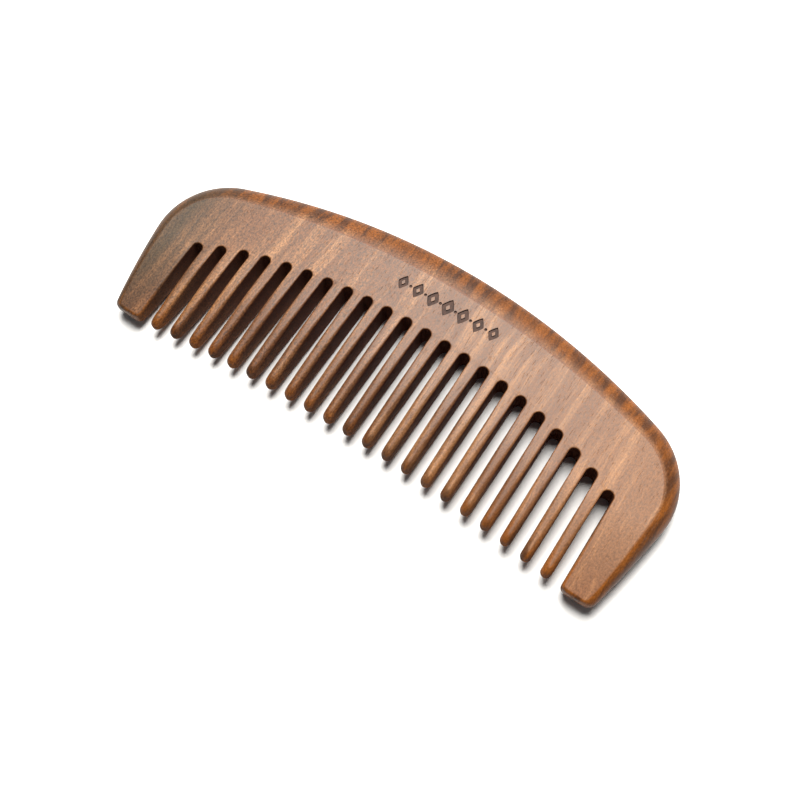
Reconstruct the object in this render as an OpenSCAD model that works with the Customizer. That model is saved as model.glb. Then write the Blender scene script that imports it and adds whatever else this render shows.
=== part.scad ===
// Wide-tooth wooden beard comb, cut from one board with the grain running along the teeth.
// It lies flat on the XY plane: X along the back, Y from the tooth tips up to the back, Z through
// the thickness.
// The origin is under the middle of the outline, on the face that the comb rests on.

/* [Board] */
// Overall length from side to side
comb_length = 131; // [128:1:160]
// Overall height from the end guards' feet to the crown of the back
comb_height = 49.6; // [48:0.2:56]
// Thickness of the board between its two flat faces
board_t = 6.8; // [5:0.1:9]

/* [Outline] */
// Radius of the long arc along the back
back_r = 158; // [140:1:200]
// Radius of the shoulders where the back turns into the sides
shoulder_r = 17.2; // [15:0.2:20]
// Radius of the slightly bowed sides
side_r = 230; // [150:5:400]
// How far the shoulders run on below their widest points, in degrees
shoulder_wrap = 9; // [7:0.5:12]

/* [Rounded edge] */
// Width of the bevel at the crown of the back
bevel_crown = 6.7; // [4:0.1:8]
// Width of the bevel at the end guards' feet
bevel_foot = 2; // [1:0.1:2]

/* [Teeth] */
// Number of teeth between the two end guards
tooth_count = 21; // [15:2:21]
// Distance from one tooth to the next
tooth_pitch = 5; // [4.4:0.1:5]
// Width of the saw slot between two teeth
slot_w = 2.5; // [2:0.1:2.8]
// Height of solid wood from the crown down to the middle slots
spine_h = 17.7; // [15:0.1:19]
// Radius of the arc that the slot ends lie on near the middle
root_r = 192; // [172:5:402]
// How much further than that arc the outermost slot ends come down
root_drop = 2.8; // [0:0.1:4]
// Length from the middle slot ends to the middle tooth's tip
tooth_l = 28.5; // [26:0.1:29]
// Radius of the arc that the tooth tips lie on
tip_r = 430; // [400:10:900]
// Thickness of the teeth and guards at their tips
tip_t = 3.2; // [2.6:0.1:4.5]
// Distance from the guards' feet up to where the faces start to taper
taper_l = 19.5; // [14:0.5:20]

/* [Engraved band] */
// Depth of the burnt band of lozenges
mark_d = 0.25; // [0.1:0.05:0.5]
// Length of the band
mark_l = 27; // [20:1:30]
// Height of its middle lozenge
mark_h = 4.2; // [3:0.1:5]

/* [Hidden] */
TOOTH_NAMES = [for (k = [1:tooth_count]) str("tooth_", k < 10 ? "0" : "", k)];

mid_z = board_t / 2;
crown_y = comb_height / 2;
foot_y = -comb_height / 2;
slot_r = slot_w / 2;
tooth_w = tooth_pitch - slot_w;
first_slot_x = -tooth_count * tooth_pitch / 2;
guard_wall_x = slot_r - first_slot_x;
tip_w = tooth_w - 0.15;  // width of a tooth just above its round tip
tip_l = 2.4;             // length over which a tooth's faces round down to its tip
tip_end_t = 0.9;         // thickness left at the very tip
root_edge_r = 0.1;       // broken edge of a tooth or guard at its root
crown_power = 1.7;       // shape of the bevel at the crown: 1 is a plain ellipse, and more is flatter
foot_power = 1.2;        // shape of the bevel at the guards' feet
taper_power = 1.5;       // shape of the taper: 1 is a straight one
round_l = 26;            // length over which a tooth turns from squared to round
fullness = 0.9;          // corner radius at a tooth's tip, as a share of its half width
foot_corner_r = 1.4;     // corners of a guard's foot, seen from above
foot_edge_r = 0.8;       // rounding of a guard's foot, seen from the side
mark_x = 3.2;            // middle of the engraved band, a little off centre
mark_y = 13.7;
mark_w = 0.104 * mark_l; // width of the band's middle lozenge
mark_core = 0.34;        // size of the standing middle of a lozenge, as a share of its outline
mark_shrink = 0.06;      // how much smaller each lozenge is than its inner neighbour
dot_r = 0.0104 * mark_l; // dots between the lozenges
cut = 1;                 // how far a cut runs past the face that it opens

// The outline is three tangent arcs on each side: back, shoulder and side.
back_end = asin((comb_length / 2 - shoulder_r) / (back_r - shoulder_r));
shoulder_end = 90 + shoulder_wrap;
back_c = [0, crown_y - back_r];
shoulder_c = back_c + (back_r - shoulder_r) * [sin(back_end), cos(back_end)];
side_c = shoulder_c + (shoulder_r - side_r) * [sin(shoulder_end), cos(shoulder_end)];

// Lengths along the outline, down which the bevel narrows.
back_len = back_r * back_end * PI / 180;
edge_len = back_len + (shoulder_c.y - foot_y) + shoulder_r;

// A value at a distance s along the outline, easing from its crown value to its foot value.
function along(s, crown, foot) = foot + (crown - foot) * cos(90 * min(1, s / edge_len));

// How far a contour stands in across the bevel at distance s, at sin(a) of the half thickness.
function inset(s, a) =
    along(s, bevel_crown, bevel_foot) * (1 - pow(abs(cos(a)), along(s, crown_power, foot_power)));

// A point of the outline at heading h, 0 at the crown, pulled in by the bevel at profile angle a.
function edge_xy(h, a) =
    let (
        on_back = h <= back_end,
        c = on_back ? back_c : shoulder_c,
        r = on_back ? back_r : shoulder_r,
        s = on_back ? back_r * h * PI / 180 : back_len + shoulder_r * (h - back_end) * PI / 180
    ) c + (r - inset(s, a)) * [sin(h), cos(h)];

function slot_x(i) = first_slot_x + i * tooth_pitch;
function slot_drop(i) = pow(slot_x(i), 2) / (2 * root_r) + root_drop * pow(slot_x(i) / first_slot_x, 4);
function slot_cy(i) = crown_y - spine_h - slot_r - slot_drop(i);
function tooth_x(k) = slot_x(k) - tooth_pitch / 2;
function land_y(k) = min(slot_cy(k - 1), slot_cy(k));
function tip_y(k) = crown_y - spine_h - tooth_l - pow(tooth_x(k), 2) / (2 * tip_r);

guard_y = slot_cy(0);
guard_heading = 90 + asin((shoulder_c.y - guard_y) / shoulder_r);
guard_run = back_len + shoulder_r * (guard_heading - back_end) * PI / 180;
wrap_heading = min(guard_heading, shoulder_end);
taper_y = min(foot_y + taper_l, guard_y - 1);

// Half thickness of the board at height y: flat, then a taper that steepens gently down to the feet.
function half_t(y) =
    let (share = max(0, taper_y - y) / (taper_y - foot_y))
    board_t / 2 - (board_t - tip_t) / 2 * pow(share, taper_power);

// How far a corner of radius r pulls in at a depth of over into it.
function pull_in(r, over) = r - sqrt(pow(r, 2) - pow(min(max(over, 0), r), 2));

// Outer edge of the right side at height y, on the shoulder or below it.
function side_x(y) =
    y > shoulder_c.y + shoulder_r * cos(shoulder_end)
        ? shoulder_c.x + sqrt(pow(shoulder_r, 2) - pow(y - shoulder_c.y, 2))
        : side_c.x + sqrt(pow(side_r, 2) - pow(y - side_c.y, 2));

function mirror_x(points) = [for (i = [len(points) - 1:-1:0]) [-points[i].x, points[i].y]];

// Joins rings of points, each with the same number of points, into one closed solid.
module skin(rings) {
    n = len(rings[0]);
    last = len(rings) - 1;
    sides = [for (i = [0:last - 1], j = [0:n - 1])
        let (a = i * n + j, b = i * n + (j + 1) % n)
        each [[a, b, b + n], [a, b + n, a + n]]];
    polyhedron(
        points = [for (ring = rings) each ring],
        faces = concat([[for (j = [n - 1:-1:0]) j]], sides, [[for (j = [0:n - 1]) last * n + j]])
    );
}

// One contour of the back at profile angle a, from the left guard over the crown to the right one.
function back_ring(a) =
    let (half = concat(
        [for (i = [0:20]) edge_xy(back_end * i / 20, a)],
        [for (i = [1:11]) edge_xy(back_end + (wrap_heading - back_end) * i / 12, a)],
        [[side_x(guard_y) - inset(guard_run, a), guard_y]]
    )) concat(mirror_x([for (i = [1:len(half) - 1]) half[i]]), half);

// The cut below the root line: a flat land for each tooth, and the slots up to their round ends.
module root_cut() {
    lands = [for (k = [1:tooth_count])
        let (left = slot_x(k - 1) + slot_r, right = slot_x(k) - slot_r)
        each [[left, slot_cy(k - 1)], [left, land_y(k)], [right, land_y(k)], [right, slot_cy(k)]]];
    translate([0, 0, -cut]) {
        linear_extrude(board_t + 2 * cut)
            polygon(concat(
                [[-guard_wall_x, guard_y - cut], [-guard_wall_x, guard_y]],
                lands,
                [[guard_wall_x, guard_y], [guard_wall_x, guard_y - cut]]
            ));
        for (i = [0:tooth_count])
            translate([slot_x(i), slot_cy(i)])
                cylinder(r = slot_r, h = board_t + 2 * cut, $fn = 48);
    }
}

// A lozenge w wide and h high, cut as an outline that leaves its middle standing.
module lozenge(w, h) {
    linear_extrude(mark_d + cut)
        difference() {
            polygon([[-w / 2, 0], [0, h / 2], [w / 2, 0], [0, -h / 2]]);
            scale(mark_core) polygon([[-w / 2, 0], [0, h / 2], [w / 2, 0], [0, -h / 2]]);
        }
}

// A row of lozenges that shrink outwards, with a round dot between each two.
module mark() {
    step = mark_l / 7;
    translate([mark_x, mark_y, board_t - mark_d])
        for (i = [-3:3]) {
            size = 1 - abs(i) * mark_shrink;
            translate([i * step, 0]) lozenge(mark_w * size, mark_h * size);
            if (i < 3) translate([(i + 0.5) * step, 0]) cylinder(r = dot_r, h = mark_d + cut, $fn = 24);
        }
}

module back() {
    color("rosybrown")
        difference() {
            skin([for (a = [-90:22.5:90])
                [for (p = back_ring(a)) [p.x, p.y, mid_z + board_t / 2 * sin(a)]]]);
            root_cut();
            mark();
        }
}

// A cross-section of a tooth: half width w and half thickness t, with corners of radius r.
function tooth_ring(x, y, w, t, r) =
    [for (q = [0:3], a = [0:30:90])
        let (
            side = q == 0 || q == 3 ? 1 : -1,
            face = q < 2 ? 1 : -1,
            heading = q * 90 + a
        ) [
            x + side * (w - r) + r * cos(heading),
            y,
            mid_z + face * (t - r) + r * sin(heading)
        ]];

// Half thickness of tooth k at height y: the board's, rounded down to the tip.
function tooth_half_t(k, y) =
    let (share = min(1, max(0, tip_y(k) + tip_l - y) / tip_l))
    half_t(y) - (half_t(y) - tip_end_t / 2) * (1 - sqrt(1 - pow(share, 2)));

module tooth(k) {
    top = land_y(k);
    round_y = tip_y(k) + tip_w / 2;
    low_y = tip_y(k) + tip_l;
    shaft_y = concat([for (i = [0:8]) top + (low_y - top) * i / 8], [(low_y + round_y) / 2, round_y]);
    shaft = [for (y = shaft_y)
        let (
            w = (tooth_w - (tooth_w - tip_w) * (top - y) / (top - round_y)) / 2,
            r = root_edge_r + (w * fullness - root_edge_r) * min(1, (top - y) / round_l)
        ) tooth_ring(tooth_x(k), y, w, tooth_half_t(k, y), r)];
    tip = [for (a = [20, 40, 58, 74, 84])
        let (y = round_y - tip_w / 2 * sin(a), w = tip_w / 2 * cos(a))
        tooth_ring(tooth_x(k), y, w, tooth_half_t(k, y), w * fullness)];
    color("sienna") skin(concat(shaft, tip));
}

// A cross-section of the right guard at height y: the bevel outside, a broken edge on the slot side.
function guard_ring(y) =
    let (
        pinch = pull_in(foot_corner_r, foot_y + foot_corner_r - y),
        t = half_t(y) - pull_in(foot_edge_r, foot_y + foot_edge_r - y),
        outer = side_x(y) - pinch,
        inner = guard_wall_x + pinch + root_edge_r,
        run = guard_run + guard_y - y
    ) concat(
        [for (a = [-90:22.5:90]) [outer - inset(run, a), y, mid_z + t * sin(a)]],
        [for (a = [90:45:180])
            [inner + root_edge_r * cos(a), y, mid_z + t - root_edge_r * (1 - sin(a))]],
        [for (a = [180:45:270])
            [inner + root_edge_r * cos(a), y, mid_z - t + root_edge_r * (1 + sin(a))]]
    );

module guard() {
    corner_y = foot_y + foot_corner_r;
    flat = [for (i = [0:1]) guard_y + (taper_y - guard_y) * i];
    taper = [for (i = [1:6]) taper_y + (corner_y - taper_y) * i / 6];
    foot = [for (a = [25, 45, 62, 76, 86]) corner_y - foot_corner_r * sin(a)];
    color("peru") skin([for (y = concat(flat, taper, foot)) guard_ring(y)]);
}

back();
mirror([1, 0, 0]) guard();  // guard_left
guard();  // guard_right
for (k = [1:tooth_count])
    tooth(k);
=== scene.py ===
"""Looks of a wide-tooth wooden beard comb: a bevelled back, two guards and 21 teeth cut from one oiled board.

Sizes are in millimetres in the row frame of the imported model, and become metres when a mesh is made.
"""

import logging
import math
from collections.abc import Sequence
from dataclasses import dataclass
from enum import Enum

import bmesh
import bpy
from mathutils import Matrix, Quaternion, Vector


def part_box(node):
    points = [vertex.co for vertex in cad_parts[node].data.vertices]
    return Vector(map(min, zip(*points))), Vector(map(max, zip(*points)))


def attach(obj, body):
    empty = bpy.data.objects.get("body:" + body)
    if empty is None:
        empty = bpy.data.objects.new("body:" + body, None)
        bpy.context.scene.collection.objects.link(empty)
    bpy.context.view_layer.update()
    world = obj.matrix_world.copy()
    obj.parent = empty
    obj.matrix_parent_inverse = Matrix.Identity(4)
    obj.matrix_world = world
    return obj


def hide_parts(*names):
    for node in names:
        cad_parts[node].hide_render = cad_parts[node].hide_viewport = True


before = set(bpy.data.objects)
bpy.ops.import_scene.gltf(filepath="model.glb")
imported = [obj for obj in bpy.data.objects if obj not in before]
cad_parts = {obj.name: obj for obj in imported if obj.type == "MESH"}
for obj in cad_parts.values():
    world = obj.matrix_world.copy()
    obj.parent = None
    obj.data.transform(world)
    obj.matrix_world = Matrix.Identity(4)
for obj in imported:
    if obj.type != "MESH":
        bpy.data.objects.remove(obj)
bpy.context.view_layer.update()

MM = 0.001
BODY = "root"
CREASE = math.radians(32)  # edges that turn by more than this stay sharp
FLAT_WEIGHT = 90  # how strongly the flat faces hold their shading flat
LEVEL = 1e-4  # roots closer than this in height are level, in millimetres
OVAL = 2.0  # exponent at which a loop is an ellipse
Point = tuple[float, float, float]
Plan = tuple[float, float]
Span = tuple[float, float]
Paint = tuple[int, int, int]

log = logging.getLogger("comb")


class Side(Enum):
    """The two ends of the comb, as the sign of X."""

    LEFT = -1
    RIGHT = 1


class Slot(Enum):
    """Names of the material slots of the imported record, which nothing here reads."""

    BACK = "back_wood"
    GUARD = "guard_wood"
    TOOTH = "tooth_wood"


# ---------------------------------------------------------------- shape


def box_mm(node: str) -> tuple[Vector, Vector]:
    """Reads where a CAD node lies.

    Args:
        node: Name of the CAD node.

    Returns:
        Its lowest and highest corners in millimetres.
    """
    low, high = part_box(node)
    return low / MM, high / MM


def arc(start: float, stop: float, steps: int) -> list[float]:
    """Divides a range evenly.

    Args:
        start: First value.
        stop: Last value.
        steps: Number of intervals.

    Returns:
        steps + 1 values, both ends included.
    """
    return [start + (stop - start) * i / steps for i in range(steps + 1)]


def smooth(x: float) -> float:
    """Eases x from 0 to 1 with level ends."""
    x = min(1.0, max(0.0, x))
    return x * x * (3 - 2 * x)


@dataclass(frozen=True)
class Board:
    """The sawn board that every piece belongs to: its thickness, taper and outline of three arcs a side."""

    half_length: float
    crown_y: float
    foot_y: float
    seam_y: float
    thickness: float
    back_r: float = 158.0
    shoulder_r: float = 17.2
    side_r: float = 230.0
    shoulder_wrap: float = math.radians(9)
    bevel_crown: float = 6.7
    bevel_foot: float = 2.0
    crown_power: float = 1.7
    foot_power: float = 1.2
    taper_l: float = 19.5
    tip_t: float = 3.2
    taper_power: float = 1.5

    @classmethod
    def from_frame(cls) -> "Board":
        """Takes the board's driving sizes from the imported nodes.

        Returns:
            The board.
        """
        low, high = box_mm("back")
        return cls(
            half_length=high.x,
            crown_y=high.y,
            foot_y=box_mm("guard_right")[0].y,
            seam_y=low.y,
            thickness=high.z,
        )

    @property
    def mid_z(self) -> float:
        """Height of the middle of the thickness."""
        return self.thickness / 2

    @property
    def back_end(self) -> float:
        """Heading, from the crown, at which the back's arc meets the shoulder's."""
        return math.asin((self.half_length - self.shoulder_r) / (self.back_r - self.shoulder_r))

    @property
    def shoulder_c(self) -> Plan:
        """Centre of the right shoulder's arc."""
        reach = self.back_r - self.shoulder_r
        return reach * math.sin(self.back_end), self.crown_y - self.back_r + reach * math.cos(self.back_end)

    @property
    def seam_heading(self) -> float:
        """Heading, on the shoulder's full circle, of the height where the guards begin."""
        return math.pi / 2 + math.asin((self.shoulder_c[1] - self.seam_y) / self.shoulder_r)

    @property
    def seam_run(self) -> float:
        """Distance along the outline from the crown to the guards."""
        return self.back_r * self.back_end + self.shoulder_r * (self.seam_heading - self.back_end)

    def inset(self, run: float, turn: float) -> float:
        """How far the surface stands in across the bevel.

        Args:
            run: Distance along the outline from the crown.
            turn: Angle round the bevel's profile, 0 at the nose and a quarter turn at a flat face.

        Returns:
            The distance in plan from the outline.
        """
        whole = self.back_r * self.back_end + self.shoulder_c[1] - self.foot_y + self.shoulder_r
        fade = math.cos(math.pi / 2 * min(1, run / whole))
        width = self.bevel_foot + (self.bevel_crown - self.bevel_foot) * fade
        power = self.foot_power + (self.crown_power - self.foot_power) * fade
        return width * (1 - abs(math.cos(turn)) ** power)

    def edge(self, heading: float, turn: float) -> Plan:
        """A plan point of the back's right half.

        Args:
            heading: Angle from the crown.
            turn: Angle round the bevel's profile.

        Returns:
            Its X and Y.
        """
        on_back = heading <= self.back_end
        centre = (0.0, self.crown_y - self.back_r) if on_back else self.shoulder_c
        radius = self.back_r if on_back else self.shoulder_r
        run = self.back_r * min(heading, self.back_end)
        run += self.shoulder_r * max(0.0, heading - self.back_end)
        reach = radius - self.inset(run, turn)
        return centre[0] + reach * math.sin(heading), centre[1] + reach * math.cos(heading)

    def side_x(self, y: float) -> float:
        """Outer edge of the right guard.

        Args:
            y: Where it is read, between the foot and the shoulder.

        Returns:
            Its X.
        """
        cx, cy = self.shoulder_c
        wrap = math.pi / 2 + self.shoulder_wrap
        if y > cy + self.shoulder_r * math.cos(wrap):
            return cx + math.sqrt(self.shoulder_r**2 - (y - cy) ** 2)
        cx += (self.shoulder_r - self.side_r) * math.sin(wrap)
        cy += (self.shoulder_r - self.side_r) * math.cos(wrap)
        return cx + math.sqrt(self.side_r**2 - (y - cy) ** 2)

    def half_t(self, y: float) -> float:
        """Half thickness at height y: flat, then a taper that steepens gently down to the feet."""
        share = max(0.0, self.foot_y + self.taper_l - y) / self.taper_l
        return self.mid_z - (self.thickness - self.tip_t) / 2 * share**self.taper_power


@dataclass(frozen=True)
class Bevel:
    """Profile of the rounded outer edge: a soft line at the flat face, a slope, then a round nose."""

    steps: int = 16

    def turns(self) -> list[float]:
        """Angles round the profile, from the lower face over the nose to the upper one."""
        return arc(-math.pi / 2, math.pi / 2, 2 * self.steps)


class Mesher:
    """Gathers points and faces of one closed piece."""

    def __init__(self) -> None:
        """Starts with nothing in it."""
        self.bm = bmesh.new()

    def row(self, points: Sequence[Point]) -> list[bmesh.types.BMVert]:
        """Adds a row of points, given in millimetres."""
        return [self.bm.verts.new((x * MM, y * MM, z * MM)) for x, y, z in points]

    def face(self, verts: Sequence[bmesh.types.BMVert], finish: int = 0) -> None:
        """Adds one face.

        Args:
            verts: Its corners.
            finish: Index of its material.
        """
        self.bm.faces.new(verts).material_index = finish

    def web(
        self, rows: Sequence[Sequence[bmesh.types.BMVert]], closed: bool = False, finish: int = 0
    ) -> None:
        """Joins neighbouring rows with quads.

        Args:
            rows: Rows of the same length.
            closed: Whether each row is a ring.
            finish: Index of the material.
        """
        for a, b in zip(rows, rows[1:]):
            last = len(a) if closed else len(a) - 1
            for i in range(last):
                j = (i + 1) % len(a)
                self.face((a[i], a[j], b[j], b[i]), finish)

    def sheet(self, loops: Sequence[Sequence[bmesh.types.BMVert]], finish: int = 0) -> None:
        """Fills a flat region.

        Args:
            loops: Its outer loop and its holes.
            finish: Index of the material.
        """
        edges = []
        for loop in loops:
            for a, b in zip(loop, list(loop[1:]) + [loop[0]]):
                edges.append(self.bm.edges.get((a, b)) or self.bm.edges.new((a, b)))
        made = bmesh.ops.triangle_fill(self.bm, use_beauty=True, use_dissolve=False, edges=edges)
        for item in made["geom"]:
            if isinstance(item, bmesh.types.BMFace):
                item.material_index = finish

    def finish(self, name: str) -> bpy.types.Object:
        """Turns what was gathered into an object.

        Args:
            name: Its name.

        Returns:
            The new object, smooth shaded, with the flat faces held flat.
        """
        bmesh.ops.recalc_face_normals(self.bm, faces=self.bm.faces)
        mesh = bpy.data.meshes.new(name)
        self.bm.to_mesh(mesh)
        self.bm.free()
        mesh.shade_smooth()
        mesh.set_sharp_from_angle(angle=CREASE)
        piece = bpy.data.objects.new(name, mesh)
        bpy.context.scene.collection.objects.link(piece)
        weigh = piece.modifiers.new("flat_faces", "WEIGHTED_NORMAL")
        weigh.keep_sharp = True
        weigh.weight = FLAT_WEIGHT
        return piece


def corner(radius: float, steps: int) -> list[tuple[float, float]]:
    """A rounded corner between a face and a wall.

    Args:
        radius: Its radius.
        steps: Number of facets.

    Returns:
        Pairs of inset from the wall and depth below the face, from the face down to the wall.
    """
    return [(radius * (1 - math.sin(a)), radius * (1 - math.cos(a))) for a in arc(0, math.pi / 2, steps)]


@dataclass(frozen=True)
class SawEdge:
    """The sanded edge that runs round each slot and down each tooth."""

    radius: float = 0.28
    steps: int = 4
    wall_steps: int = 6

    def column(self, half_t: float, mid_z: float, radius: float | None = None) -> list[tuple[float, float]]:
        """The section of a slot wall.

        Args:
            half_t: Half the wood's thickness there.
            mid_z: Height of its middle.
            radius: Radius of the edge, if it isn't the usual one.

        Returns:
            Pairs of inset from the wall and height, from the upper face to the lower one.
        """
        r = self.radius if radius is None else radius
        upper = [(inset, mid_z + half_t - drop) for inset, drop in corner(r, self.steps)]
        lower = [(inset, 2 * mid_z - z) for inset, z in reversed(upper)]
        wall = arc(upper[-1][1], lower[0][1], self.wall_steps)[1:-1]
        return upper + [(0.0, z) for z in wall] + lower


@dataclass(frozen=True)
class Tooth:
    """One tooth: square where it leaves the back, round from its middle on, with a domed tip."""

    node: str
    x: float
    root_y: float
    tip_y: float
    half_w: float
    board: Board
    edge: SawEdge
    taper_w: float = 0.15
    worn_r: float = 0.78
    tip_l: float = 2.4
    tip_end_t: float = 0.9
    fullness: float = 0.96
    worn_run: float = 0.6
    full_start: float = 0.4
    full_run: float = 0.56
    flat_steps: int = 4
    rings: int = 44
    tip_rings: int = 10

    @classmethod
    def from_frame(cls, node: str, board: Board, edge: SawEdge) -> "Tooth":
        """Takes a tooth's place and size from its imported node.

        Args:
            node: Name of the CAD node that the tooth stands for.
            board: The board that it is cut from.
            edge: Its sanded edge.

        Returns:
            The tooth.
        """
        low, high = box_mm(node)
        return cls(node, (low.x + high.x) / 2, high.y, low.y, (high.x - low.x) / 2, board, edge)

    def section(self, y: float, half_w: float, half_t: float, radius: float) -> list[Point]:
        """A ring of points round the tooth, from its upper left edge down the left wall and up the right one.

        Args:
            y: Height of the ring in plan.
            half_w: Half the tooth's width there.
            half_t: Half its thickness there.
            radius: Radius of its corners.

        Returns:
            The ring's points.
        """
        column = self.edge.column(half_t, self.board.mid_z, radius)
        left = [(self.x - half_w + inset, y, z) for inset, z in column]
        right = [(self.x + half_w - inset, y, z) for inset, z in reversed(column)]
        across = arc(left[0][0], right[-1][0], self.flat_steps)[1:-1]
        lower = [(x, y, left[-1][2]) for x in across]
        upper = [(x, y, left[0][2]) for x in reversed(across)]
        return left + lower + right + upper

    def round_off(self, y: float, half_w: float) -> float:
        """Corner radius, which grows slowly down the tooth and fills the section just above the tip.

        Args:
            y: Height in plan.
            half_w: Half the tooth's width there.

        Returns:
            The radius.
        """
        run = (self.root_y - y) / (self.root_y - self.tip_y)
        worn = self.edge.radius + (self.worn_r - self.edge.radius) * smooth(run / self.worn_run)
        filled = smooth((run - self.full_start) / self.full_run)
        return worn + (half_w * self.fullness - worn) * filled

    def half_t(self, y: float) -> float:
        """Half thickness of the tooth: the board's, rounded down to the tip.

        Args:
            y: Height in plan.

        Returns:
            Half the thickness.
        """
        share = min(1.0, max(0.0, self.tip_y + self.tip_l - y) / self.tip_l)
        full = self.board.half_t(y)
        return full - (full - self.tip_end_t / 2) * (1 - math.sqrt(1 - share**2))

    def build(self) -> bpy.types.Object:
        """Makes the tooth's mesh.

        Returns:
            The finished piece.
        """
        mesher = Mesher()
        tip_w = self.half_w - self.taper_w / 2
        dome_y = self.tip_y + tip_w
        rows = []
        for step in arc(0, 1, self.rings):
            y = self.root_y + (dome_y - self.root_y) * step
            half_w = self.half_w - self.taper_w / 2 * (self.root_y - y) / (self.root_y - dome_y)
            radius = self.round_off(y, half_w)
            rows.append(mesher.row(self.section(y, half_w, self.half_t(y), radius)))
        for turn in arc(0, math.pi / 2, self.tip_rings)[1:-1]:
            y, half_w = dome_y - tip_w * math.sin(turn), tip_w * math.cos(turn)
            rows.append(mesher.row(self.section(y, half_w, self.half_t(y), half_w * self.fullness)))
        mesher.web(rows, closed=True)
        mesher.face(rows[0])
        mesher.face(rows[-1])
        return mesher.finish(f"{self.node}_wood")


@dataclass(frozen=True)
class Guard:
    """One broad end guard, bevelled outside and tapering to a softly rounded foot."""

    side: Side
    wall_x: float
    board: Board
    edge: SawEdge
    bevel: Bevel
    corner_r: float = 1.4
    foot_r: float = 0.8
    inner_r: float = 0.7
    inner_run: float = 14.0
    foot_turn: float = math.radians(88)
    crowding: float = 1.3
    rings: int = 30
    foot_rings: int = 10

    @property
    def node(self) -> str:
        """Name of the CAD node that the guard stands for."""
        return f"guard_{self.side.name.lower()}"

    def section(self, y: float) -> list[Point]:
        """A ring of points round the guard.

        Args:
            y: Height of the ring in plan.

        Returns:
            The ring's points.
        """
        board = self.board
        over = max(0.0, board.foot_y + self.corner_r - y)
        pinch = self.corner_r - math.sqrt(max(0.0, self.corner_r**2 - over**2))
        low = max(0.0, board.foot_y + self.foot_r - y)
        half_t = board.half_t(y) - self.foot_r + math.sqrt(max(0.0, self.foot_r**2 - low**2))
        run = board.seam_run + board.seam_y - y
        worn = smooth((board.seam_y - y) / self.inner_run)
        radius = self.edge.radius + (self.inner_r - self.edge.radius) * worn
        outer = [
            (board.side_x(y) - pinch - board.inset(run, turn), board.mid_z + half_t * math.sin(turn))
            for turn in self.bevel.turns()
        ]
        column = self.edge.column(half_t, board.mid_z, radius)
        inner = [(self.wall_x + pinch + inset, z) for inset, z in column]
        return [(self.side.value * x, y, z) for x, z in outer + inner]

    def build(self) -> bpy.types.Object:
        """Makes the guard's mesh.

        Returns:
            The finished piece.
        """
        mesher = Mesher()
        seam_y = self.board.seam_y
        corner_y = self.board.foot_y + self.corner_r
        heights = [seam_y + (corner_y - seam_y) * step**self.crowding for step in arc(0, 1, self.rings)]
        turns = arc(0, self.foot_turn, self.foot_rings)[1:]
        heights += [corner_y - self.corner_r * math.sin(turn) for turn in turns]
        rows = [mesher.row(self.section(y)) for y in heights]
        mesher.web(rows, closed=True)
        mesher.face(rows[0])
        mesher.face(rows[-1])
        return mesher.finish(f"{self.node}_wood")


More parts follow.
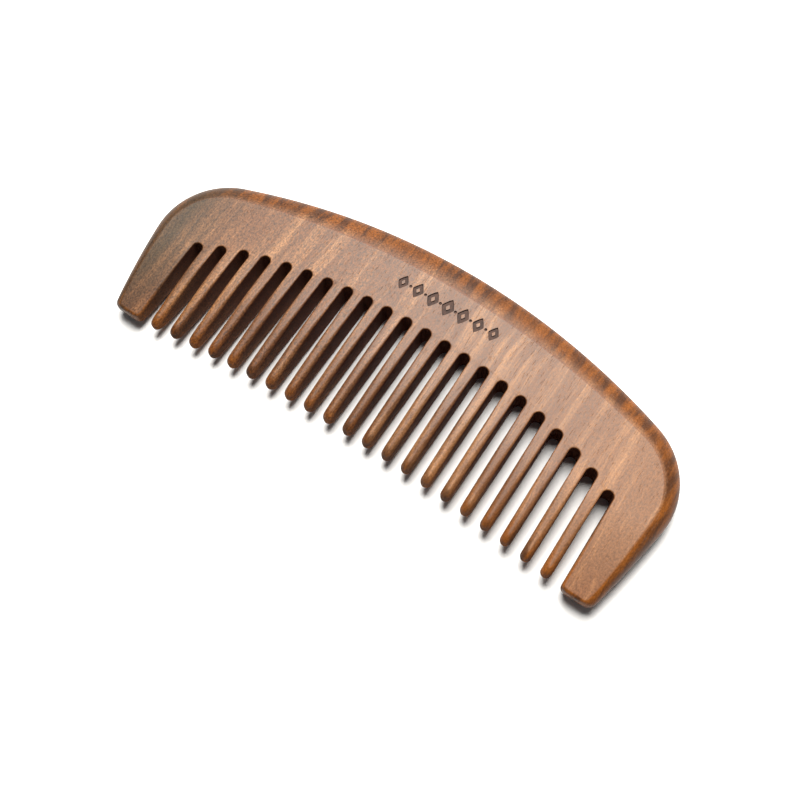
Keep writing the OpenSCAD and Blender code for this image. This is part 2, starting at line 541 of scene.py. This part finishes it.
@dataclass(frozen=True)
class Emblem:
    """A burnt band of lozenges that shrink outwards, with a dot between each two. It carries no lettering."""

    depth: float = 0.25
    length: float = 27.0
    height: float = 4.2
    width: float = 2.81
    core: float = 0.34
    dot_r: float = 0.28
    centre: Plan = (3.2, 13.7)
    shrink: float = 0.06
    count: int = 7
    softness: float = 1.16
    # width of the burnt rim round each mark
    darkening: float = 0.09
    batter: float = 0.6
    tallness: float = 1.5
    dot_floor: float = 0.7
    points: int = 32
    dot_points: int = 20

    def loop(self, x: float, half_w: float, half_h: float, power: float, points: int) -> list[Plan]:
        """A closed loop of points, a lozenge at power 1 and an ellipse at power 2.

        Args:
            x: Distance of its middle from the band's middle.
            half_w: Half its width.
            half_h: Half its height.
            power: Exponent of the curve.
            points: Number of points.

        Returns:
            The loop's points in plan.
        """
        turns = [2 * math.pi * i / points for i in range(points)]
        cx, cy = self.centre
        return [
            (
                cx + x + half_w * math.copysign(abs(math.cos(a)) ** (2 / power), math.cos(a)),
                cy + half_h * math.copysign(abs(math.sin(a)) ** (2 / power), math.sin(a)),
            )
            for a in turns
        ]

    def cut(self, mesher: Mesher, top_z: float) -> list[list[bmesh.types.BMVert]]:
        """Cuts the band into the upper face.

        Args:
            mesher: The back's mesh so far.
            top_z: Height of the face.

        Returns:
            The loops that the face leaves open.
        """
        step = self.length / self.count
        reach = self.count // 2
        holes = []
        for i in range(-reach, reach + 1):
            size = 1 - abs(i) * self.shrink
            half_w, half_h = self.width / 2 * size, self.height / 2 * size
            holes.append(self.lozenge(mesher, i * step, half_w, half_h, top_z))
            if i < reach:
                holes.append(self.dot(mesher, (i + 0.5) * step, top_z))
        return holes

    def lozenge(
        self, mesher: Mesher, x: float, half_w: float, half_h: float, top_z: float
    ) -> list[bmesh.types.BMVert]:
        """Cuts one outlined lozenge and leaves its middle standing.

        Args:
            mesher: The back's mesh so far.
            x: Distance of its middle from the band's middle.
            half_w: Half its width.
            half_h: Half its height.
            top_z: Height of the face.

        Returns:
            The loop that the face leaves open.
        """
        rim, lean = self.darkening, self.darkening * self.batter
        core_w, core_h, floor_z = half_w * self.core, half_h * self.core, top_z - self.depth
        levels = [
            (half_w + rim, half_h + rim * self.tallness, top_z),
            (half_w, half_h, top_z),
            (half_w - lean, half_h - lean * self.tallness, floor_z),
            (core_w + lean, core_h + lean * self.tallness, floor_z),
            (core_w, core_h, top_z),
        ]
        rows = [
            mesher.row([(px, py, z) for px, py in self.loop(x, w, h, self.softness, self.points)])
            for w, h, z in levels
        ]
        mesher.web(rows, closed=True, finish=1)
        mesher.face(rows[-1])
        return rows[0]

    def dot(self, mesher: Mesher, x: float, top_z: float) -> list[bmesh.types.BMVert]:
        """Cuts one round dot.

        Args:
            mesher: The back's mesh so far.
            x: Distance of its middle from the band's middle.
            top_z: Height of the face.

        Returns:
            The loop that the face leaves open.
        """
        levels = [
            (self.dot_r + self.darkening, top_z),
            (self.dot_r, top_z),
            (self.dot_r * self.dot_floor, top_z - self.depth),
        ]
        rows = [
            mesher.row([(px, py, z) for px, py in self.loop(x, r, r, OVAL, self.dot_points)])
            for r, z in levels
        ]
        mesher.web(rows, closed=True, finish=1)
        mesher.face(rows[-1], 1)
        return rows[0]


@dataclass(frozen=True)
class Back:
    """The bowed spine: its wide bevel, the slots' round ends, and the lands that the teeth stand on."""

    board: Board
    edge: SawEdge
    bevel: Bevel
    emblem: Emblem
    teeth: Sequence[Tooth]
    wall_x: float
    node: str = "back"
    crown_steps: int = 48
    shoulder_steps: int = 26
    slot_steps: int = 16

    def outline(self) -> list[list[Point]]:
        """Columns of the outer edge, from the left seam over the crown to the right one.

        Returns:
            The columns, each from below upwards.
        """
        board = self.board
        wrap = min(board.seam_heading, math.pi / 2 + board.shoulder_wrap)
        headings = arc(0, board.back_end, self.crown_steps)
        headings += arc(board.back_end, wrap, self.shoulder_steps)[1:-1]
        levels = [(turn, board.mid_z * (1 + math.sin(turn))) for turn in self.bevel.turns()]
        half = [[(*board.edge(heading, turn), z) for turn, z in levels] for heading in headings]
        side = board.side_x(board.seam_y)
        half.append([(side - board.inset(board.seam_run, turn), board.seam_y, z) for turn, z in levels])
        return [[(-x, y, z) for x, y, z in column] for column in reversed(half[1:])] + half

    def slot(self, number: int) -> list[list[Point]]:
        """Columns of one slot's wall, up its left side, round its end and down its right side.

        Args:
            number: Place of the slot, from 0 at the left guard.

        Returns:
            The columns, each from the upper face to the lower one.
        """
        teeth, board = self.teeth, self.board
        left = teeth[number - 1] if number > 0 else None
        right = teeth[number] if number < len(teeth) else None
        left_x = left.x + left.half_w if left else -self.wall_x
        right_x = right.x - right.half_w if right else self.wall_x
        lands = [tooth.root_y for tooth in (left, right) if tooth]
        centre_x, centre_y = (left_x + right_x) / 2, max(lands)
        radius = (right_x - left_x) / 2
        path = [(math.pi, left.root_y)] if left and left.root_y < centre_y - LEVEL else []
        path += [(a, centre_y) for a in arc(math.pi, 0, self.slot_steps)]
        path += [(0.0, right.root_y)] if right and right.root_y < centre_y - LEVEL else []
        return [
            [
                (centre_x + (radius + inset) * math.cos(a), y + (radius + inset) * math.sin(a), z)
                for inset, z in self.edge.column(board.mid_z, board.mid_z)
            ]
            for a, y in path
        ]

    def build(self) -> bpy.types.Object:
        """Makes the back's mesh.

        Returns:
            The finished piece.
        """
        mesher = Mesher()
        outer = [mesher.row(column) for column in self.outline()]
        slots = [[mesher.row(column) for column in self.slot(i)] for i in range(len(self.teeth) + 1)]
        mesher.web(outer)
        for columns in slots:
            mesher.web(columns)
        for before, after in zip(slots, slots[1:]):
            mesher.face(before[-1] + after[0][::-1])
        mesher.face(outer[0] + slots[0][0])
        mesher.face(outer[-1] + slots[-1][-1])
        roots = [column for columns in slots for column in columns]
        holes = self.emblem.cut(mesher, self.board.thickness)
        mesher.sheet([[c[-1] for c in outer] + [c[0] for c in reversed(roots)]] + holes)
        mesher.sheet([[c[0] for c in outer] + [c[-1] for c in reversed(roots)]])
        return mesher.finish("back_wood")


# ---------------------------------------------------------------- finishes


def linear(red: int, green: int, blue: int) -> tuple[float, float, float, float]:
    """Turns a colour as a screen shows it into a shader colour.

    Args:
        red: Its red, from 0 to 255.
        green: Its green.
        blue: Its blue.

    Returns:
        The same colour in linear light, with full cover.
    """
    tones = []
    for value in (red, green, blue):
        tone = value / 255
        tones.append(tone / 12.92 if tone <= 0.04045 else ((tone + 0.055) / 1.055) ** 2.4)
    return tones[0], tones[1], tones[2], 1.0


Socket = bpy.types.NodeSocket
Value = Socket | float | Sequence[float] | None
SHIFT_ASPECT: Point = (1.0, 1.7, 0.6)  # how a pattern's shift divides among X, Y and Z
MIX_SHARE, MIX_A, MIX_B, MIX_COLOUR = 0, 6, 7, 2  # a Mix node's sockets when it mixes colours


@dataclass(frozen=True)
class Grain:
    """A stretched noise: cycles per millimetre along X, Y and Z, octaves, their strength, and a shift."""

    scale: Point
    octaves: float
    rough: float
    shift: float = 0.0


class Recipe:
    """Lays out one material's nodes, with short calls for the mixtures that wood needs."""

    def __init__(self, name: str) -> None:
        """Starts a material with a shader and an output.

        Args:
            name: Its name.
        """
        self.material = bpy.data.materials.new(name)
        self.material.use_nodes = True
        self.tree = self.material.node_tree
        self.shader = self.tree.nodes["Principled BSDF"]
        place = self.tree.nodes.new("ShaderNodeTexCoord")
        self.normal = place.outputs["Normal"]
        scaled = self.node("ShaderNodeVectorMath", place.outputs["Object"], operation="SCALE")
        scaled.inputs["Scale"].default_value = 1 / MM
        self.mm = scaled.outputs[0]

    def node(self, kind: str, *values: Value, **settings: str | float | bool) -> bpy.types.Node:
        """Adds a node.

        Args:
            kind: Its Blender type.
            values: What goes into its sockets in order; None leaves one alone.
            settings: Its own properties.

        Returns:
            The node.
        """
        made = self.tree.nodes.new(kind)
        for key, setting in settings.items():
            setattr(made, key, setting)
        for socket, value in zip(made.inputs, values):
            self.fill(socket, value)
        return made

    def math(self, operation: str, a: Value, b: Value = None, c: Value = None) -> Socket:
        """Works out one sum."""
        return self.node("ShaderNodeMath", a, b, c, operation=operation).outputs[0]

    def split(self, vector: Socket) -> tuple[Socket, Socket, Socket]:
        """Takes a vector apart."""
        parts = self.node("ShaderNodeSeparateXYZ", vector).outputs
        return parts[0], parts[1], parts[2]

    def step(self, value: Value, low: float, high: float) -> Socket:
        """Rises smoothly from 0 where the value is low to 1 where it is high."""
        made = self.node("ShaderNodeMapRange", value, low, high, 0.0, 1.0, interpolation_type="SMOOTHSTEP")
        return made.outputs[0]

    def noise(self, place: Socket, grain: Grain) -> Socket:
        """Reads a stretched noise.

        Args:
            place: Where it is read, in millimetres.
            grain: The noise.

        Returns:
            A value from 0 to 1.
        """
        shift = [grain.shift * share for share in SHIFT_ASPECT]
        held = self.node("ShaderNodeMapping", place, shift, None, grain.scale)
        made = self.node("ShaderNodeTexNoise", held.outputs[0], None, 1.0, grain.octaves, grain.rough)
        return made.outputs[0]

    def mix(self, share: Value, a: Value, b: Value, blend: str = "MIX") -> Socket:
        """Mixes two colours.

        Args:
            share: How much of the second one shows.
            a: The first colour.
            b: The second colour.
            blend: How Blender lays the second over the first.

        Returns:
            The mixed colour.
        """
        made = self.tree.nodes.new("ShaderNodeMix")
        made.data_type = "RGBA"
        made.blend_type = blend
        for index, value in ((MIX_SHARE, share), (MIX_A, a), (MIX_B, b)):
            self.fill(made.inputs[index], value)
        return made.outputs[MIX_COLOUR]

    def fill(self, socket: Socket, value: Value) -> None:
        """Puts a value or a link into a socket.

        Args:
            socket: Where it goes.
            value: A socket to link, or a plain value; None leaves the socket alone.
        """
        if isinstance(value, Socket):
            self.tree.links.new(value, socket)
        elif value is not None:
            socket.default_value = value

    def set(self, **values: Value) -> None:
        """Fills the shader's sockets.

        Args:
            values: What goes into each, by its name in lower case with underscores.
        """
        for key, value in values.items():
            name = key.replace("_", " ").title().replace("Ior", "IOR")
            self.fill(self.shader.inputs[name], value)

    def bump(self, height: Socket, depth: float, strength: float) -> None:
        """Raises the surface.

        Args:
            height: Pattern of 0 to 1.
            depth: Its depth in millimetres.
            strength: Share of it that shows.
        """
        made = self.node("ShaderNodeBump")
        made.inputs["Strength"].default_value = strength
        made.inputs["Distance"].default_value = depth * MM
        self.tree.links.new(height, made.inputs["Height"])
        self.tree.links.new(made.outputs[0], self.shader.inputs["Normal"])


@dataclass(frozen=True)
class OiledWood:
    """Oiled wood with its grain along Y, a dark left end that is part heartwood and part painted shade,
    painted light on the right end, deeper colour on rounded edges and painted shade on the slot walls.

    A field that ends in _x or _y is a pair of places in millimetres between which something sets in, one that
    ends in _nz is the same for the upward part of the surface's direction, and _tone for a pattern's value.
    """

    name: str = "oiled_wood"
    pale: Paint = (138, 98, 64)
    middle: Paint = (110, 74, 46)
    dark: Paint = (84, 52, 32)
    # dark olive of the left end: part heartwood colour, part painted shade
    heart_and_shade: Paint = (54, 44, 29)
    edge_bright: Paint = (108, 59, 12)
    edge_dark: Paint = (58, 29, 7)
    line: Paint = (92, 50, 30)
    # painted shade laid on the slot walls
    painted_slot_shade: Paint = (72, 27, 6)

    wander: Grain = Grain((0.05, 0.03, 0.05), 2, 0.5, 3.1)
    rings: Grain = Grain((0.36, 0.012, 0.3), 5, 0.62)
    fibre: Grain = Grain((2.6, 0.09, 2.6), 4, 0.65, 9.0)
    grit: Grain = Grain((3.2, 2.0, 3.2), 2, 0.65, 21.0)
    pores: Grain = Grain((4.2, 0.5, 4.2), 1, 0.5, 33.0)
    mottle: Grain = Grain((0.07, 0.04, 0.07), 3, 0.5, 47.0)
    streaks: Grain = Grain((0.5, 0.06, 0.12), 4, 0.6, 61.0)
    wander_mm: float = 5.0

    rings_share: float = 0.9
    mottle_share: float = 0.5
    fibre_share: float = 0.45
    middle_tone: Span = (0.55, 1.3)
    pale_tone: Span = (0.88, 1.2)
    # painted light: the right end is mixed toward the pale tone
    painted_light_end_x: Span = (25.0, 62.0)
    painted_light_end_share: float = 0.22
    # where the dark left end sets in: part heartwood, part painted shade
    heart_and_shade_x: Span = (-32.0, -52.0)
    heart_and_shade_wander: float = 26.0
    heart_and_shade_share: float = 0.88

    slots_x: Span = (54.6, 53.8)
    slots_y: Span = (8.6, 8.2)
    tips_y: Span = (-15.0, -24.0)
    slope_nz: Span = (1.004, 0.95)
    slope_grit: float = 0.02
    slope_held: float = 0.85
    streak_tone: Span = (0.36, 0.62)
    edge_heart_and_shade: float = 0.55
    edge_share: float = 0.92
    line_nz: float = 0.986
    line_width: float = 0.012
    line_share: float = 0.4
    upright_nz: Span = (0.75, 0.15)
    # painted shade on the slot walls, deepest near the tooth roots
    painted_slot_shade_y: Span = (-26.0, -2.0)
    painted_slot_shade_share: float = 0.85

    coarse_x: Span = (25.0, -25.0)
    coarse_gain: float = 1.6
    speck_gain: float = 1.6
    # painted light: the speckle's grey is raised towards the right end
    painted_lift_x: Span = (5.0, 62.0)
    painted_lift: float = 0.26
    pore_tone: Span = (0.64, 0.76)
    pore_share: float = 0.2

    roughness: float = 0.46
    grit_rough: float = 0.16
    wall_rough: float = 0.5
    specular: float = 0.32
    fibre_relief: float = 0.5
    grit_relief: float = 0.5
    pore_relief: float = 0.6
    relief_mm: float = 0.08
    relief_share: float = 0.6

    def sawn(self, r: Recipe, x: Socket, rings: Socket, fibre: Socket) -> Socket:
        """Colour of the sawn faces, with painted light towards the right end, before the dark left end of
        heartwood and painted shade is laid on.

        Args:
            r: The material's recipe.
            x: Distance along the comb.
            rings: Pattern of the growth rings.
            fibre: Pattern of the fine fibres.

        Returns:
            The colour.
        """
        mottle = r.math("MULTIPLY", r.noise(r.mm, self.mottle), self.mottle_share)
        tone = r.math("MULTIPLY_ADD", rings, self.rings_share, mottle)
        tone = r.math("MULTIPLY_ADD", fibre, self.fibre_share, tone)
        colour = r.mix(r.step(tone, *self.middle_tone), linear(*self.dark), linear(*self.middle))
        colour = r.mix(r.step(tone, *self.pale_tone), colour, linear(*self.pale))
        # Painted light: the right end is mixed toward the pale tone so that it reads lighter.
        painted_light_end = r.math("MULTIPLY", r.step(x, *self.painted_light_end_x), self.painted_light_end_share)
        return r.mix(painted_light_end, colour, linear(*self.pale))

    def rounded(self, r: Recipe, place: Socket, heart_and_shade: Socket) -> Socket:
        """Colour of the rounded edges, bright and dark by turns.

        Args:
            r: The material's recipe.
            place: Where the grain is read.
            heart_and_shade: Share of the dark left end, part heartwood and part painted shade.

        Returns:
            The colour.
        """
        streaks = r.step(r.noise(place, self.streaks), *self.streak_tone)
        colour = r.mix(streaks, linear(*self.edge_dark), linear(*self.edge_bright))
        return r.mix(r.math("MULTIPLY", heart_and_shade, self.edge_heart_and_shade), colour, linear(*self.heart_and_shade))

    def speckle(self, r: Recipe, x: Socket, grit: Socket) -> Socket:
        """A grey to multiply the colour by: a fine speckle, stronger to the left, and raised towards the
        right end as painted light.

        Args:
            r: The material's recipe.
            x: Distance along the comb.
            grit: Pattern of the speckle.

        Returns:
            The grey.
        """
        gain = r.math("MULTIPLY_ADD", r.step(x, *self.coarse_x), self.coarse_gain, self.speck_gain)
        speck = r.math("MULTIPLY_ADD", r.math("SUBTRACT", grit, 0.5), gain, 1.0)
        # Painted light: the grey rises towards the right end.
        painted_lift = r.math("MULTIPLY_ADD", r.step(x, *self.painted_lift_x), self.painted_lift, 1.0)
        speck = r.math("MULTIPLY", speck, painted_lift)
        return r.node("ShaderNodeCombineColor", speck, speck, speck).outputs[0]

    def material(self) -> bpy.types.Material:
        """Builds the wood's nodes.

        Returns:
            The material.
        """
        r = Recipe(self.name)
        x, y, _ = r.split(r.mm)
        nz = r.math("ABSOLUTE", r.split(r.normal)[2])

        bend = r.math("MULTIPLY", r.noise(r.mm, self.wander), self.wander_mm)
        offset = r.node("ShaderNodeCombineXYZ", bend).outputs[0]
        place = r.node("ShaderNodeVectorMath", r.mm, offset, operation="ADD").outputs[0]
        rings = r.noise(place, self.rings)
        fibre = r.noise(place, self.fibre)
        grit = r.noise(r.mm, self.grit)
        pores = r.step(r.noise(place, self.pores), *self.pore_tone)
        # A dark olive left end, part heartwood colour and part painted shade, with an edge that wanders with
        # the rings.
        heart_and_shade = r.step(r.math("MULTIPLY_ADD", rings, self.heart_and_shade_wander, x), *self.heart_and_shade_x)
        colour = self.sawn(r, x, rings, fibre)
        colour = r.mix(r.math("MULTIPLY", heart_and_shade, self.heart_and_shade_share), colour, linear(*self.heart_and_shade))

        within = r.math("MULTIPLY", r.step(r.math("ABSOLUTE", x), *self.slots_x), r.step(y, *self.slots_y))
        shafts = r.math("MULTIPLY", within, r.math("SUBTRACT", 1.0, r.step(y, *self.tips_y)))
        slope = r.step(r.math("MULTIPLY_ADD", grit, self.slope_grit, nz), *self.slope_nz)
        slope = r.math("MULTIPLY", slope, r.math("MULTIPLY_ADD", shafts, -self.slope_held, 1.0))
        colour = r.mix(r.math("MULTIPLY", slope, self.edge_share), colour, self.rounded(r, place, heart_and_shade))
        near_line = r.step(r.math("ABSOLUTE", r.math("SUBTRACT", nz, self.line_nz)), self.line_width, 0.0)
        outside = r.math("MULTIPLY_ADD", within, -self.line_share, self.line_share)
        colour = r.mix(r.math("MULTIPLY", near_line, outside), colour, linear(*self.line))

        walls = r.math("MULTIPLY", within, r.step(nz, *self.upright_nz))
        # Painted shade: the slot walls are darkened, most near the tooth roots.
        darkening = r.math("MULTIPLY", walls, r.step(y, *self.painted_slot_shade_y))
        colour = r.mix(r.math("MULTIPLY", darkening, self.painted_slot_shade_share), colour, linear(*self.painted_slot_shade))
        colour = r.mix(1.0, colour, self.speckle(r, x, grit), "MULTIPLY")
        colour = r.mix(r.math("MULTIPLY", pores, self.pore_share), colour, linear(*self.dark))

        rough = r.math("MULTIPLY_ADD", grit, self.grit_rough, self.roughness - self.grit_rough / 2)
        rough = r.math("MULTIPLY_ADD", walls, self.wall_rough, rough)
        relief = r.math("MULTIPLY", grit, self.grit_relief)
        relief = r.math("MULTIPLY_ADD", fibre, self.fibre_relief, relief)
        relief = r.math("SUBTRACT", relief, r.math("MULTIPLY", pores, self.pore_relief))
        r.set(base_color=colour, roughness=rough, specular_ior_level=self.specular)
        r.bump(relief, self.relief_mm, self.relief_share)
        return r.material


@dataclass(frozen=True)
class BurntWood:
    """The brown char of the engraved band."""

    name: str = "burnt_wood"
    char: Paint = (38, 24, 19)
    toast: Paint = (72, 47, 36)
    cloud: Grain = Grain((1.6, 0.9, 1.6), 3, 0.6, 5.0)
    grit: Grain = Grain((6.0, 3.0, 6.0), 2, 0.6, 15.0)
    cloud_share: float = 0.7
    grit_share: float = 0.4
    toast_tone: Span = (0.35, 0.75)
    roughness: float = 0.8
    relief_mm: float = 0.06
    relief_share: float = 0.6

    def material(self) -> bpy.types.Material:
        """Builds the char's nodes.

        Returns:
            The material.
        """
        r = Recipe(self.name)
        cloud = r.math("MULTIPLY", r.noise(r.mm, self.cloud), self.cloud_share)
        grit = r.noise(r.mm, self.grit)
        toasted = r.step(r.math("MULTIPLY_ADD", grit, self.grit_share, cloud), *self.toast_tone)
        colour = r.mix(toasted, linear(*self.char), linear(*self.toast))
        r.set(base_color=colour, roughness=self.roughness)
        r.bump(grit, self.relief_mm, self.relief_share)
        return r.material


@dataclass(frozen=True)
class PaleFloor:
    """The plain matt surface that the comb lies on."""

    name: str = "pale_floor"
    tint: tuple[float, float, float, float] = (0.79, 0.8, 0.81, 1.0)
    roughness: float = 0.7

    def material(self) -> bpy.types.Material:
        """Builds the floor's nodes.

        Returns:
            The material.
        """
        r = Recipe(self.name)
        r.set(base_color=self.tint, roughness=self.roughness)
        return r.material


# ---------------------------------------------------------------- studio


@dataclass(frozen=True)
class Camera:
    """The camera, by what it looks at in millimetres and from where, with its angles in degrees."""

    target: Point = (5.5, -8.7, 3.4)
    azimuth: float = 40.36
    elevation: float = 69.78
    distance: float = 192.4
    roll: float = 7.02
    lens: float = 40.61
    sensor: float = 36.0
    nearest: float = 0.01

    def place(self) -> None:
        """Adds the camera to the scene and looks through it."""
        data = bpy.data.cameras.new("camera")
        data.lens = self.lens
        data.sensor_width = self.sensor
        data.clip_start = self.nearest
        camera = bpy.data.objects.new("camera", data)
        turn, rise = math.radians(self.azimuth), math.radians(self.elevation)
        reach = math.cos(rise)
        away = Vector((math.sin(turn) * reach, -math.cos(turn) * reach, math.sin(rise)))
        camera.location = (Vector(self.target) + away * self.distance) * MM
        camera.rotation_mode = "QUATERNION"
        rolled = Quaternion((0, 0, 1), -math.radians(self.roll))
        camera.rotation_quaternion = away.to_track_quat("Z", "Y") @ rolled
        bpy.context.scene.collection.objects.link(camera)
        bpy.context.scene.camera = camera


@dataclass(frozen=True)
class Softbox:
    """A square area light that faces the middle of the comb, with its size in millimetres."""

    name: str
    place: Point
    size: float
    power: float
    tint: tuple[float, float, float] = (1.0, 0.965, 0.91)

    def light(self) -> None:
        """Adds the light to the scene."""
        data = bpy.data.lights.new(self.name, "AREA")
        data.size = self.size * MM
        data.energy = self.power
        data.color = self.tint
        lamp = bpy.data.objects.new(self.name, data)
        lamp.location = Vector(self.place) * MM
        lamp.rotation_mode = "QUATERNION"
        lamp.rotation_quaternion = Vector(self.place).to_track_quat("Z", "Y")
        bpy.context.scene.collection.objects.link(lamp)


@dataclass(frozen=True)
class Studio:
    """A pale floor, an overhead softbox and a dim room."""

    floor_size: float = 3000.0
    room: tuple[float, float, float, float] = (0.95, 0.97, 1.0, 1.0)
    room_strength: float = 0.09
    lights: tuple[Softbox, ...] = (
        Softbox("overhead_softbox", (-80.0, 205.0, 445.0), 330.0, 7.2),
    )

    def build(self) -> None:
        """Lays the floor and sets the lights."""
        mesher = Mesher()
        half = self.floor_size / 2
        corners = [(-half, -half, 0), (half, -half, 0), (half, half, 0), (-half, half, 0)]
        mesher.face(mesher.row(corners))
        floor = mesher.finish("floor")
        floor.data.materials.append(PaleFloor().material())
        for softbox in self.lights:
            softbox.light()
        world = bpy.data.worlds.new("room")
        world.use_nodes = True
        background = world.node_tree.nodes["Background"]
        background.inputs["Color"].default_value = self.room
        background.inputs["Strength"].default_value = self.room_strength
        bpy.context.scene.world = world
        bpy.context.scene.view_settings.view_transform = "Standard"


# ---------------------------------------------------------------- assembly


def fit(piece: bpy.types.Object, node: str, finishes: Sequence[bpy.types.Material]) -> None:
    """Puts a piece in place of its CAD node and dresses it.

    Args:
        piece: The finished mesh.
        node: CAD node that it stands for.
        finishes: Its materials, in the order of its faces' indices.
    """
    for finish in finishes:
        piece.data.materials.append(finish)
    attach(piece, BODY)
    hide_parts(node)
    log.info("%s stands for %s with %d faces", piece.name, node, len(piece.data.polygons))


def main() -> None:
    """Builds the comb, its finishes and the studio."""
    board = Board.from_frame()
    edge, bevel = SawEdge(), Bevel()
    wood, burnt = OiledWood().material(), BurntWood().material()
    names = [name for name in sorted(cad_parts) if name.startswith("tooth_")]
    teeth = [Tooth.from_frame(name, board, edge) for name in names]
    wall_x = box_mm("guard_right")[0].x
    guards = [Guard(side, wall_x, board, edge, bevel) for side in Side]
    back = Back(board, edge, bevel, Emblem(), teeth, wall_x)
    fit(back.build(), back.node, (wood, burnt))
    for guard in guards:
        fit(guard.build(), guard.node, (wood,))
    for tooth in teeth:
        fit(tooth.build(), tooth.node, (wood,))
    Studio().build()
    Camera().place()


if __name__ == "__main__":
    logging.basicConfig(level=logging.INFO)
    main()
